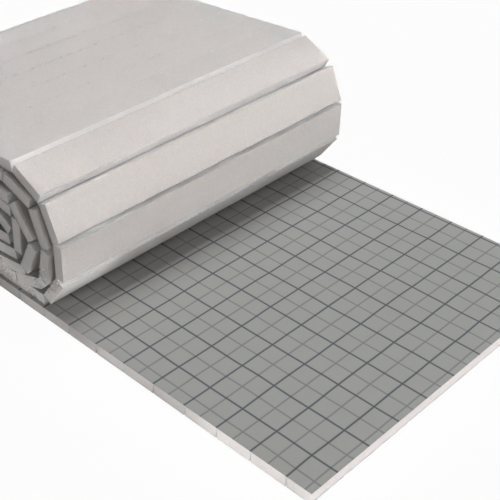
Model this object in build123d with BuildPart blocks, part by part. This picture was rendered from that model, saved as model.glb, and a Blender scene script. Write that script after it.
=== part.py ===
from build123d import *

import os
from math import cos, radians, sin

# The strip as it is made: foam board sawn through across its width, held together by one printed foil
strip_length = 10000
strip_width = 1000
foam_thickness = 30
foil_thickness = 0.2
slat_pitch = 100
end_slat = 69
saw_cut = 1.2

# The winding: the outer turns stand loose in the back bend, and the turns wander to either side
layer_gap = 0.4
back_slack = 24
slack_turns = 2.1
side_drift = 11
drift_turns = (0, 0.4, 0.85, 2.45, 2.9, 4.6)
drift_shares = (0, 1, 1, -1, -1, 0.3)

# The outer turn, in headings: 0 degrees runs along the floor to the back, 180 comes back over the top
laid_slats = 17
top_slats = 7
top_heading = 177
back_turn_shares = (0.218, 0.445, 0.674, 0.776)
front_turn_shares = (0.15, 0.38, 0.515, 0.7)
sharpest_fold = 160
fold_step = 0.25


def interpolate(place, places, amounts):
    """The amount at a place, on straight lines between the listed places."""
    for start, end, amount, next_amount in zip(places, places[1:], amounts, amounts[1:]):
        if place <= end:
            return amount + (next_amount - amount) * (place - start) / (end - start)
    return amounts[-1]


def bend(first_heading, turn_shares, count):
    """Headings of the slats that take the strip through a half turn."""
    amounts = (0, *turn_shares, 1)
    places = [step / (len(amounts) - 1) for step in range(len(amounts))]
    steps = [(step + 1) / (count + 1) for step in range(count)]
    return [first_heading + 180 * interpolate(step, places, amounts) for step in steps]


def ahead(point, heading, length):
    """The point that lies a length away from another in the direction of a heading."""
    turn = radians(heading)
    return point[0] + length * cos(turn), point[1] + length * sin(turn)


def depth_inside(point, fold, heading):
    """How far a point lies inside the slat that leaves a fold with a heading."""
    turn = radians(heading)
    return (point[1] - fold[1]) * cos(turn) - (point[0] - fold[0]) * sin(turn)


def room_inside(heading):
    """Space that a slat leaves for the next turn: tight nearly everywhere, loose at the back of the outer turns."""
    looseness = max(0, 1 - heading / 360 / slack_turns) * max(0, sin(radians(heading)))
    return foil_thickness + layer_gap + foam_thickness + back_slack * looseness


def is_clear(point, heading, slats):
    """Whether a fold keeps its room from every slat that was laid at least half a turn before it."""
    walls = [(fold, wall) for fold, wall, length in slats if heading - wall >= 180]
    return all(depth_inside(point, fold, wall) >= room_inside(wall) for fold, wall in walls)


def wind(bend_slats):
    """Lay the strip from its free end, each turn close inside the last, or give nothing if it doesn't fit."""
    outer = [0] * laid_slats + bend(0, back_turn_shares, bend_slats)
    outer += [top_heading] * top_slats + bend(180, front_turn_shares, bend_slats)
    full_slats, rest = divmod(strip_length - end_slat, slat_pitch)
    lengths = [end_slat] + [slat_pitch] * int(full_slats)
    if rest > saw_cut:
        lengths.append(rest)
    slats = []
    fold = (0, foam_thickness)
    heading = 0
    for count, length in enumerate(lengths):
        heading = outer[count] if count < len(outer) else heading
        most = heading + sharpest_fold
        while heading <= most and not is_clear(ahead(fold, heading, length), heading, slats):
            heading += fold_step
        if heading > most:
            return []
        slats.append((fold, heading, length))
        fold = ahead(fold, heading, length)
    return slats


def turn_of(heading):
    """Which turn a slat belongs to: none while it lies on the floor, then counted from the outside."""
    return 0 if heading == 0 else int((heading + 45) // 360) + 1


# The outer turn has just as many slats in its bends as the strip needs to fit inside
bend_slats = 1
slats = wind(bend_slats)
while not slats:
    bend_slats += 1
    slats = wind(bend_slats)

back_corners = [
    ahead(ahead(fold, heading, place), heading - 90, foam_thickness)
    for fold, heading, length in slats
    for place in (saw_cut / 2, length - saw_cut / 2)
]
half_length = max(along for along, height in back_corners) / 2


def end_plane(heading):
    """The plane of a slat's left end, moved sideways with its turn."""
    drift = side_drift * interpolate(heading / 360, drift_turns, drift_shares)
    return Plane.YZ.offset(drift - strip_width / 2)


def middle(fold, heading, length):
    """The middle of a slat's foil side, measured from the middle of the whole object."""
    along, height = ahead(fold, heading, length / 2)
    return along - half_length, height


os.makedirs("parts", exist_ok=True)

# Foam slats, one group for the laid strip and one for each turn of the roll
for turn in range(turn_of(slats[-1][1]) + 1):
    name = f"turn_{turn}_slats" if turn else "laid_slats"
    with BuildPart() as foam_slats:
        for fold, heading, length in slats:
            if turn_of(heading) == turn:
                with BuildSketch(end_plane(heading)):
                    with Locations(middle(fold, heading, length)):
                        Rectangle(
                            length - saw_cut,
                            foam_thickness,
                            rotation=heading,
                            align=(Align.CENTER, Align.MAX),
                        )
        extrude(amount=strip_width)
    foam_slats.part.label = name
    export_step(foam_slats.part, f"parts/{name}.step")

# Printed foil, one sheet that runs along the inner side of every slat and folds at every saw cut
with BuildPart() as grid_foil:
    for fold, heading, length in slats:
        with BuildSketch(end_plane(heading)):
            with Locations(middle(fold, heading, length)):
                Rectangle(length, foil_thickness, rotation=heading, align=(Align.CENTER, Align.MIN))
    extrude(amount=strip_width)
grid_foil.part.label = "grid_foil"
export_step(grid_foil.part, "parts/grid_foil.step")
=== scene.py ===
from math import pi, radians

import bmesh
import bpy
from mathutils import Matrix, Quaternion, Vector, noise
from mathutils.bvhtree import BVHTree


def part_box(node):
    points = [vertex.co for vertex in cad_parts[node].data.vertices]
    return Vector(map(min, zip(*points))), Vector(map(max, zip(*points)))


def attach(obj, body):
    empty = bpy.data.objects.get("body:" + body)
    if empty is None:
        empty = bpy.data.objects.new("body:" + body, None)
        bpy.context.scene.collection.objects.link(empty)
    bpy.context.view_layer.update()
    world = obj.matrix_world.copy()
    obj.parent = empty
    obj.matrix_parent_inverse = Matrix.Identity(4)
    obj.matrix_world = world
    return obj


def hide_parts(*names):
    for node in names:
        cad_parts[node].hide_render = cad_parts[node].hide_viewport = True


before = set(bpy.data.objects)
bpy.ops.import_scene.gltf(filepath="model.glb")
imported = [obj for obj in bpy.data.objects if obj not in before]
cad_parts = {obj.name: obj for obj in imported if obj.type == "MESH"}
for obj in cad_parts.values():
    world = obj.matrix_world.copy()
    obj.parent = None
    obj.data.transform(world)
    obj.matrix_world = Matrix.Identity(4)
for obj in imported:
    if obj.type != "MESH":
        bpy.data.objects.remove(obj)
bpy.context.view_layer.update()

# Foam slats: the board is white bead foam, cut with a hot wire and sawn through every 100 mm, so each slat
# is a loose block that only the glued foil holds. The sawn sides are rough with torn beads, the edges have
# lost beads here and there, and the end that the roll was dragged on is crumbled.
mm = 0.001
bead = 4.5 * mm
merge_distance = 0.01 * mm
touching_distance = 0.05 * mm
flat_angle = radians(1)
edge_wear = 0.6 * mm
worn_rim = 2 * edge_wear
edge_band = 3 * mm
nibble_length = 5 * mm
whole_share = 0.15
end_cell = 3 * mm
aligned_share = 0.99
facing_share = 0.8
sawn_roughness = 0.7 * mm
end_roughness = 0.4 * mm
lost_bead_depth = 6 * mm
crumble_spots = [(-0.045, 0.12, 0.045), (0.115, 0.08, 0.05), (0.03, 0.045, 0.03)]
foam_white = "ECE6E4"
foam_shade = "E7E1DE"
foam_seam = "DBD5D1"
# Whiter colour of the sawn sides in the roll: partly a fresher cut, partly painted light that lightens the
# V-gaps between the facets
sawn_white_with_painted_gap_light = "FDF8F6"
seam_share_of_bead = 0.1
seam_strength = 0.8
bead_relief = 0.4 * mm
light_depth = 15 * mm


def linear(hex_colour):
    """An sRGB hex colour as the linear colour that a shader takes."""
    parts = [int(hex_colour[place : place + 2], 16) / 255 for place in (0, 2, 4)]
    return [part / 12.92 if part <= 0.04045 else ((part + 0.055) / 1.055) ** 2.4 for part in parts] + [1]


def add(tree, kind, values=None, links=None, **settings):
    """Adds a node with its settings, its sockets' values and what is linked into its sockets."""
    node = tree.nodes.new("ShaderNode" + kind)
    for name, value in settings.items():
        setattr(node, name, value)
    for socket, value in (values or {}).items():
        node.inputs[socket].default_value = value
    for socket, output in (links or {}).items():
        tree.links.new(output, node.inputs[socket])
    return node


def new_material(name):
    """An empty material and its node tree."""
    material = bpy.data.materials.new(name)
    material.use_nodes = True
    material.node_tree.nodes.clear()
    return material, material.node_tree


def bead_foam():
    """Expanded polystyrene: matte off-white with a faint net of pressed beads. The sawn sides in the roll
    are whiter: partly a fresher cut, partly painted light that lightens the V-gaps between the facets.
    """
    material, tree = new_material("expanded_polystyrene")
    place = add(tree, "TexCoord").outputs["Object"]
    cells = add(tree, "TexVoronoi", {"Scale": 1 / bead}, {"Vector": place})
    walls = add(tree, "TexVoronoi", {"Scale": 1 / bead}, {"Vector": place}, feature="DISTANCE_TO_EDGE")
    tone = add(tree, "SeparateColor", links={"Color": cells.outputs["Color"]})
    beads = add(
        tree,
        "MixRGB",
        {"Color1": linear(foam_white), "Color2": linear(foam_shade)},
        {"Fac": tone.outputs["Red"]},
    )
    seam_share = add(
        tree,
        "MapRange",
        {"From Max": seam_share_of_bead, "To Min": seam_strength, "To Max": 0},
        {"Value": walls.outputs["Distance"]},
    )
    skin = add(
        tree,
        "MixRGB",
        {"Color2": linear(foam_seam)},
        {"Fac": seam_share.outputs["Result"], "Color1": beads.outputs["Color"]},
    )
    # Whitens the sawn sides in the roll: partly a fresher cut, partly painted light in the V-gaps
    sawn_whitening_and_gap_light = add(tree, "Attribute", attribute_name="sawn")
    colour = add(
        tree,
        "MixRGB",
        {"Color2": linear(sawn_white_with_painted_gap_light)},
        {"Fac": sawn_whitening_and_gap_light.outputs["Fac"], "Color1": skin.outputs["Color"]},
    )
    relief = add(
        tree,
        "Bump",
        {"Strength": 0.2, "Distance": bead_relief},
        {"Height": walls.outputs["Distance"]},
    )
    surface = add(
        tree,
        "BsdfPrincipled",
        {
            "Roughness": 0.8,
            "IOR": 1.45,
            "Specular IOR Level": 0.1,
            "Subsurface Weight": 1,
            "Subsurface Radius": (1, 1, 1),
            "Subsurface Scale": light_depth,
        },
        {"Base Color": colour.outputs["Color"], "Normal": relief.outputs["Normal"]},
    )
    add(tree, "OutputMaterial", links={"Surface": surface.outputs["BSDF"]})
    return material


def merged_copy(node):
    """A CAD node's mesh as a bmesh of whole flat faces."""
    bm = bmesh.new()
    bm.from_mesh(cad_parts[node].data)
    bmesh.ops.remove_doubles(bm, verts=bm.verts, dist=merge_distance)
    bmesh.ops.dissolve_limit(bm, angle_limit=flat_angle, verts=bm.verts, edges=bm.edges)
    return bm


def separate_blocks(bm):
    """The corners of each block that isn't joined to another."""
    left = set(bm.verts)
    blocks = []
    while left:
        block, reached = set(), [left.pop()]
        while reached:
            corner = reached.pop()
            block.add(corner)
            neighbours = {edge.other_vert(corner) for edge in corner.link_edges} & left
            left -= neighbours
            reached.extend(neighbours)
        blocks.append([corner.co.copy() for corner in block])
    return sorted(blocks, key=lambda corners: tuple(sum(corners, Vector()).yz))


foil_copy = merged_copy("grid_foil")
foil_tree = BVHTree.FromBMesh(foil_copy)
foam_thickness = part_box("laid_slats")[1].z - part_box("laid_slats")[0].z


def slat_place(corners):
    """A slat's place and size. Its own X runs across the strip, and its own Z points away from the foil."""
    centre = sum(corners, Vector()) / len(corners)
    first = corners[0]
    same_end = [corner for corner in corners if abs(corner.x - first.x) < edge_wear and corner is not first]
    to_thickness = min(same_end, key=lambda corner: abs((corner - first).length - foam_thickness))
    outward = (to_thickness - first).normalized()
    if foil_tree.find_nearest(centre + outward * foam_thickness / 2)[3] < touching_distance:
        outward.negate()
    across = Vector((1, 0, 0))
    along = outward.cross(across)
    spread = [corner - centre for corner in corners]
    size = [2 * max(abs(step @ axis) for step in spread) for axis in (across, along, outward)]
    place = Matrix((across, along, outward)).transposed().to_4x4()
    place.translation = centre
    return place, Vector(size)


def edges_along(bm, axis, shortest):
    """The edges that run along one of the slat's own axes and are at least so long."""
    runs = [(edge, edge.verts[1].co - edge.verts[0].co) for edge in bm.edges]
    long_runs = [(edge, run) for edge, run in runs if run.length > shortest]
    return [edge for edge, run in long_runs if abs(run[axis]) > aligned_share * run.length]


def crumbling(spot):
    """How far a point on the left end is inside the patches that the roll was dragged on, from 0 to 1."""
    depths = [1 - (spot.yz - Vector((along, up))).length / reach for along, up, reach in crumble_spots]
    return min(1, 2 * max(0, *depths))


def worn_slat(place, size, number, step, sawn_cuts, nibble_depth, flare):
    """One slat: a block with worn outer edges that have lost beads, rough sawn sides and cut ends. Its edges
    at the foil stay sharp, because the slats hinge there. A flare opens its saw cuts toward the floor."""
    bm = bmesh.new()
    bmesh.ops.create_cube(bm, size=1)
    bmesh.ops.scale(bm, vec=size, verts=bm.verts)
    bmesh.ops.bevel(
        bm,
        geom=[edge for edge in bm.edges if max(vert.co.z for vert in edge.verts) > 0],
        offset=edge_wear,
        offset_type="OFFSET",
        affect="EDGES",
        segments=2,
        profile=0.5,
        material=-1,
    )
    half = size / 2
    for axis in (1, 2):
        for side in (-1, 1):
            inner = Vector()
            inner[axis] = side * (half[axis] - edge_band)
            whole = bm.verts[:] + bm.edges[:] + bm.faces[:]
            bmesh.ops.bisect_plane(bm, geom=whole, plane_co=inner, plane_no=inner)
    across_edges = edges_along(bm, 0, half.x)
    bmesh.ops.subdivide_edges(bm, edges=across_edges, cuts=round(size.x / step), use_grid_fill=True)
    depth_edges = edges_along(bm, 2, half.z)
    bmesh.ops.subdivide_edges(bm, edges=depth_edges, cuts=sawn_cuts, use_grid_fill=True)
    end_edges = [
        edge
        for edge in edges_along(bm, 1, half.y)
        if min(abs(vert.co.x) for vert in edge.verts) > half.x - worn_rim
    ]
    bmesh.ops.subdivide_edges(bm, edges=end_edges, cuts=round(size.y / end_cell) - 1, use_grid_fill=True)
    for vert in bm.verts:
        spot = place @ vert.co
        inset = Vector([half[axis] - abs(vert.co[axis]) for axis in range(3)])
        inward = Vector([-1 if vert.co[axis] > 0 else 1 for axis in range(3)])
        torn = noise.voronoi(spot / bead)[0][0]
        if inset.y < worn_rim:
            vert.co.y += inward.y * flare * max(0, vert.co.z / half.z)
        if vert.co.z > 0 and inset.y < worn_rim and inset.z < worn_rim:
            lost = noise.noise(Vector((vert.co.x / nibble_length, number, inward.y)))
            vert.co.yz += inward.yz * nibble_depth * max(0, lost - whole_share)
        elif inset.y < merge_distance and vert.co.z > merge_distance - half.z:
            vert.co.y += inward.y * sawn_roughness * torn
        if inset.x < merge_distance:
            vert.co.x += inward.x * end_roughness * torn
            if spot.x < 0 and noise.cell(spot / bead) < crumbling(spot) - 1:
                vert.co.x += lost_bead_depth
    # Only the sawn sides in the roll are whitened, partly a fresher cut and partly painted light that
    # lightens the V-gaps; the laid strip's saw cuts keep the plain colour so that they stay dark
    sawn = bm.faces.layers.float.new("sawn")
    bm.normal_update()
    for face in bm.faces:
        face[sawn] = 1 if abs(face.normal.y) > facing_share and not flare else 0
    bm.transform(place)
    return bm


def foam_slats(name, node, step, sawn_cuts, nibble_depth, open_cut):
    """All slats of a CAD node as one worn piece. In the roll the saw cuts are pressed shut at the foil."""
    piece_mesh = bpy.data.meshes.new(name)
    joined = bmesh.new()
    for number, corners in enumerate(separate_blocks(merged_copy(node))):
        place, size = slat_place(corners)
        slats.append((place, size.copy()))
        size.y += saw_cut - open_cut
        slat = worn_slat(place, size, number, step, sawn_cuts, nibble_depth, open_cut)
        slat.to_mesh(piece_mesh)
        slat.free()
        joined.from_mesh(piece_mesh)
    joined.to_mesh(piece_mesh)
    joined.free()
    piece = bpy.data.objects.new(name, piece_mesh)
    bpy.context.scene.collection.objects.link(piece)
    piece_mesh.materials.append(polystyrene)
    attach(piece, "root")
    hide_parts(node)
    return piece


polystyrene = bead_foam()
slats = []
saw_cut = 1.2 * mm
pressed_cut = 0
laid_foam = foam_slats(
    "laid_foam_slats", "laid_slats", step=9 * mm, sawn_cuts=3, nibble_depth=2 * mm, open_cut=saw_cut
)
outer_foam = foam_slats(
    "turn_1_foam_slats", "turn_1_slats", step=6 * mm, sawn_cuts=5, nibble_depth=5 * mm, open_cut=pressed_cut
)
for turn in range(2, 7):
    name = f"turn_{turn}_foam_slats"
    foam_slats(name, f"turn_{turn}_slats", step=25 * mm, sawn_cuts=7, nibble_depth=0, open_cut=pressed_cut)

# Printed foil: one grey film of woven tapes, glued to every slat and printed with a 100 mm grid to lay pipes
# by, stretched by a hundredth across the strip. It is one sheet; the free end that shows its print and the
# part that is wound into the roll are two pieces here.
tape = 2.5 * mm
grid_pitch = 100 * mm
grid_pitch_across = 101 * mm
left_margin = 80 * mm
bold_line = 4.2 * mm
fine_line = 3.4 * mm
line_softness = 3.4 * mm
print_wobble = 3.5 * mm
print_wobble_length = 160 * mm
cloud_size = 70 * mm
weave_relief = 0.1 * mm
foil_grey = "B6B6B3"
foil_cloud = "B0B1AE"
bold_ink = "565A61"
fine_ink = "8A8A89"
hidden_under_roll = -5 * mm
print_share = 0.98
rim_share = 0.005
foil_wave = 0.15 * mm
foil_wave_length = 90 * mm


def woven_foil():
    """Laminated polypropylene tape fabric: satin grey with a fine weave, and dark slate printing ink."""
    material, tree = new_material("printed_woven_polypropylene")
    place = add(tree, "UVMap", uv_map="strip")
    sheet = add(tree, "TexCoord").outputs["Object"]
    drift = add(tree, "TexNoise", {"Scale": 1 / print_wobble_length, "Detail": 1}, {"Vector": sheet})
    wobble = add(
        tree,
        "VectorMath",
        {1: (2 * print_wobble, 2 * print_wobble, 0), 2: (-print_wobble, -print_wobble, 0)},
        {0: drift.outputs["Color"]},
        operation="MULTIPLY_ADD",
    )
    printed_place = add(
        tree,
        "VectorMath",
        links={0: place.outputs["UV"], 1: wobble.outputs["Vector"]},
        operation="ADD",
    )
    axes = add(tree, "SeparateXYZ", links={"Vector": printed_place.outputs["Vector"]})
    cloud = add(tree, "TexNoise", {"Scale": 1 / cloud_size, "Detail": 4}, {"Vector": place.outputs["UV"]})
    colour = add(
        tree,
        "MixRGB",
        {"Color1": linear(foil_grey), "Color2": linear(foil_cloud)},
        {"Fac": cloud.outputs["Fac"]},
    )
    distances = []
    weave = []
    for axis, first_line, pitch in (("X", left_margin, grid_pitch_across), ("Y", 0, grid_pitch)):
        from_line = add(
            tree, "Math", {1: first_line}, {0: axes.outputs[axis]}, operation="SUBTRACT"
        )
        distances.append(
            (pitch, add(tree, "Math", {1: pitch / 2}, {0: from_line.outputs[0]}, operation="PINGPONG"))
        )
        turn = add(tree, "Math", {1: pi / tape}, {0: axes.outputs[axis]}, operation="MULTIPLY")
        weave.append(add(tree, "Math", links={0: turn.outputs[0]}, operation="SINE"))
    for ink, line_width, line_place in ((fine_ink, fine_line, 0.5), (bold_ink, bold_line, 0)):
        shares = []
        for pitch, distance in distances:
            line_at = line_place * pitch
            off_line = add(tree, "Math", {1: line_at}, {0: distance.outputs[0]}, operation="SUBTRACT")
            from_middle = add(tree, "Math", links={0: off_line.outputs[0]}, operation="ABSOLUTE")
            shares.append(
                add(
                    tree,
                    "MapRange",
                    {
                        "From Min": (line_width - line_softness) / 2,
                        "From Max": (line_width + line_softness) / 2,
                        "To Min": 1,
                        "To Max": 0,
                    },
                    {"Value": from_middle.outputs[0]},
                )
            )
        printed = add(
            tree,
            "Math",
            links={0: shares[0].outputs["Result"], 1: shares[1].outputs["Result"]},
            operation="MAXIMUM",
        )
        colour = add(
            tree,
            "MixRGB",
            {"Color2": linear(ink)},
            {"Fac": printed.outputs[0], "Color1": colour.outputs["Color"]},
        )
    crossing = add(
        tree, "Math", links={0: weave[0].outputs[0], 1: weave[1].outputs[0]}, operation="MULTIPLY"
    )
    relief = add(
        tree,
        "Bump",
        {"Strength": 0.25, "Distance": weave_relief},
        {"Height": crossing.outputs[0]},
    )
    surface = add(
        tree,
        "BsdfPrincipled",
        {"Roughness": 0.6, "IOR": 1.49, "Specular IOR Level": 0.2},
        {"Base Color": colour.outputs["Color"], "Normal": relief.outputs["Normal"]},
    )
    add(tree, "OutputMaterial", links={"Surface": surface.outputs["BSDF"]})
    return material


def foil_piece(name, bm):
    """A stretch of the foil with its print laid out along the strip, slat by slat."""
    strip = bm.loops.layers.uv.new("strip")
    for face in bm.faces:
        middle = face.calc_center_median()
        place, size = min(slats, key=lambda slat: (slat[0].translation - middle).yz.length)
        to_slat = place.inverted()
        for loop in face.loops:
            spot = to_slat @ loop.vert.co
            loop[strip].uv = (spot.x + size.x / 2, spot.y + (size.y + saw_cut) / 2)
    mesh = bpy.data.meshes.new(name)
    bm.to_mesh(mesh)
    piece = bpy.data.objects.new(name, mesh)
    bpy.context.scene.collection.objects.link(piece)
    mesh.materials.append(printed_foil)
    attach(piece, "root")
    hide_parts("grid_foil")


printed_foil = woven_foil()
strip_start, strip_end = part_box("laid_slats")
strip_width = strip_end.x - strip_start.x
shown_length = hidden_under_roll - strip_start.y
foil_thickness = 0.2 * mm
cells_across = 100
cells_along = 88

laid_sheet = bmesh.new()
bmesh.ops.create_grid(laid_sheet, x_segments=cells_across, y_segments=cells_along, size=0.5)
bmesh.ops.scale(laid_sheet, vec=(strip_width, shown_length, 1), verts=laid_sheet.verts)
bmesh.ops.translate(
    laid_sheet,
    vec=(0, (strip_start.y + hidden_under_roll) / 2, foam_thickness + foil_thickness),
    verts=laid_sheet.verts,
)
for vert in laid_sheet.verts:
    vert.co.z += foil_wave * noise.noise(vert.co / foil_wave_length)
bmesh.ops.solidify(laid_sheet, geom=laid_sheet.faces, thickness=foil_thickness)
laid_sheet.normal_update()

# A baked picture of the laid foil is nearly all print; the glued side and the rim share a narrow margin
bake_layout = laid_sheet.loops.layers.uv.new("OFBake")
for face in laid_sheet.faces:
    for loop in face.loops:
        across = (loop.vert.co.x - strip_start.x) / strip_width
        along = (loop.vert.co.y - strip_start.y) / shown_length
        on_print = any(other.normal.z > facing_share for other in loop.vert.link_faces)
        rim = rim_share if on_print else 0
        if face.normal.z > facing_share:
            loop[bake_layout].uv = (across * print_share, along)
        else:
            loop[bake_layout].uv = (1 - 2 * rim_share - across * rim_share + rim, along * print_share + rim)

laid_stretch = [vert for vert in foil_copy.verts if vert.co.z < 2 * foam_thickness]
laid_edges = [edge for edge in foil_copy.edges if all(vert in laid_stretch for vert in edge.verts)]
laid_faces = [face for face in foil_copy.faces if all(vert in laid_stretch for vert in face.verts)]
cut = bmesh.ops.bisect_plane(
    foil_copy,
    geom=laid_stretch + laid_edges + laid_faces,
    plane_co=(0, hidden_under_roll, 0),
    plane_no=(0, -1, 0),
    clear_outer=True,
)
cut_edges = [part for part in cut["geom_cut"] if isinstance(part, bmesh.types.BMEdge)]
bmesh.ops.holes_fill(foil_copy, edges=cut_edges)

foil_piece("laid_foil", laid_sheet)
foil_piece("wound_foil", foil_copy)

# Floor and light: a matte white studio sweep with softboxes on every side and weak skylight. Softboxes with
# a honeycomb grid light the roll, its front facets, the laid foil and the strip's edges each from one side,
# so that the foil keeps its deep shade under the roll. The floor is white only to the eye.
floor_size = 14
floor_white = "E6E6E4"
eye_white_share = 0.97
sky_strength = 0.045


def seen_directly(tree):
    """1 for rays from the eye and for what shiny or clear things show, 0 for light on the object."""
    ray = add(tree, "LightPath")
    mirrored = add(
        tree,
        "Math",
        links={0: ray.outputs["Is Glossy Ray"], 1: ray.outputs["Is Transmission Ray"]},
        operation="MAXIMUM",
    )
    seen = add(
        tree, "Math", links={0: ray.outputs["Is Camera Ray"], 1: mirrored.outputs[0]}, operation="MAXIMUM"
    )
    return seen.outputs[0]


def studio_floor():
    """Matte white paint, washed out to white for the eye, so that only a breath of the shadow shows."""
    material, tree = new_material("matte_white_sweep")
    paint = add(tree, "BsdfDiffuse", {"Color": linear(floor_white)})
    white = add(tree, "Emission", {"Color": (1, 1, 1, 1), "Strength": 1})
    share = add(tree, "Math", {1: eye_white_share}, {0: seen_directly(tree)}, operation="MULTIPLY")
    mixed = add(
        tree, "MixShader", links={0: share.outputs[0], 1: paint.outputs[0], 2: white.outputs[0]}
    )
    add(tree, "OutputMaterial", links={"Surface": mixed.outputs[0]})
    return material


floor_shape = bmesh.new()
bmesh.ops.create_grid(floor_shape, x_segments=1, y_segments=1, size=floor_size / 2)
floor_mesh = bpy.data.meshes.new("studio_floor")
floor_shape.to_mesh(floor_mesh)
floor_mesh.materials.append(studio_floor())
floor = bpy.data.objects.new("studio_floor", floor_mesh)
bpy.context.scene.collection.objects.link(floor)

world = bpy.data.worlds.new("skylight")
bpy.context.scene.world = world
world.use_nodes = True
world.node_tree.nodes.clear()
sky = add(world.node_tree, "Background", {"Color": (1, 1, 1, 1), "Strength": sky_strength})
backdrop = add(world.node_tree, "Background", {"Color": (1, 1, 1, 1), "Strength": 1})
shown = add(
    world.node_tree,
    "MixShader",
    links={0: seen_directly(world.node_tree), 1: sky.outputs[0], 2: backdrop.outputs[0]},
)
add(world.node_tree, "OutputWorld", links={"Surface": shown.outputs[0]})


def soft_light(name, place, aim, width, height, spread, watts):
    """A soft light that shines on a point and isn't seen itself. A honeycomb grid narrows its spread in
    degrees. Its width runs across the strip as far as its aim allows."""
    lamp = bpy.data.lights.new(name, "AREA")
    lamp.shape = "RECTANGLE"
    lamp.size = width
    lamp.size_y = height
    lamp.spread = radians(spread)
    lamp.energy = watts
    light = bpy.data.objects.new(name, lamp)
    light.location = place
    backward = (Vector(place) - Vector(aim)).normalized()
    up = backward.cross(Vector((1, 0, 0))).normalized()
    light.rotation_euler = Matrix((up.cross(backward), up, backward)).transposed().to_euler()
    light.visible_camera = False
    bpy.context.scene.collection.objects.link(light)


roll_middle = (0, 0.2, 0.2)
soft_light("overhead_softbox", (0.2, 0.5, 3.2), roll_middle, 1.4, 1.4, 180, 15)
soft_light("front_softbox", (0.2, -2.6, 2.6), roll_middle, 1.6, 1.6, 180, 8)
soft_light("left_softbox", (-3.0, -0.3, 0.9), roll_middle, 1.2, 1.2, 180, 13)
soft_light("right_softbox", (3.2, 0.6, 1.2), roll_middle, 1.2, 1.2, 180, 10)
soft_light("back_softbox", (0.5, 3.8, 0.8), roll_middle, 1.6, 1.2, 180, 26)
soft_light("roll_light", (1.313, -0.363, 2.902), (0.1, 0.31, 0.39), 1.3, 0.895, 1.5, 0.89)
soft_light("facet_light", (1.5, -2.558, 1.668), (0.1, 0.16, 0.4), 1.3, 0.74, 1.5, 1.46)
soft_light("foil_light", (0.0, -0.57, 2.8), (0.0, -0.57, 0.03), 1.3, 0.886, 5, 1.29)
soft_light("floor_light_front", (0.0, -1.12, 0.03), (0, -0.9, 0.02), 1.2, 0.05, 20, 0.16)
soft_light("floor_light_left", (-1.0, -0.37, 0.03), (-0.5, -0.62, 0.025), 0.7, 0.05, 20, 0.06)
soft_light("floor_light_back", (-1.0, 0.25, 0.16), (-0.5, 0.0, 0.03), 0.6, 0.05, 20, 0.035)
soft_light("floor_light_corner", (-1.0, -0.6, 0.03), (-0.5, -0.85, 0.025), 0.5, 0.05, 20, 0.07)
soft_light("floor_light_roll", (-0.6, -1.0, 0.05), (-0.42, -0.08, 0.1), 0.2, 0.03, 9, 0.016)

# Camera: in front of the strip's left corner at standing height, with a long lens.
eye = Vector((-1.6284, strip_start.y - 0.9254, 1.6299))
aim = Vector((0.0239, strip_start.y + 0.6734, 0.0302))
camera_roll = radians(-0.25)
lens_length = 76.9
sensor_width = 36
camera_data = bpy.data.cameras.new("camera")
camera_data.lens = lens_length
camera_data.sensor_width = sensor_width
camera = bpy.data.objects.new("camera", camera_data)
camera.location = eye
level = (aim - eye).to_track_quat("-Z", "Y")
camera.rotation_mode = "QUATERNION"
camera.rotation_quaternion = level @ Quaternion((0, 0, 1), camera_roll)
bpy.context.scene.collection.objects.link(camera)
bpy.context.scene.camera = camera
bpy.context.scene.view_settings.view_transform = "Standard"
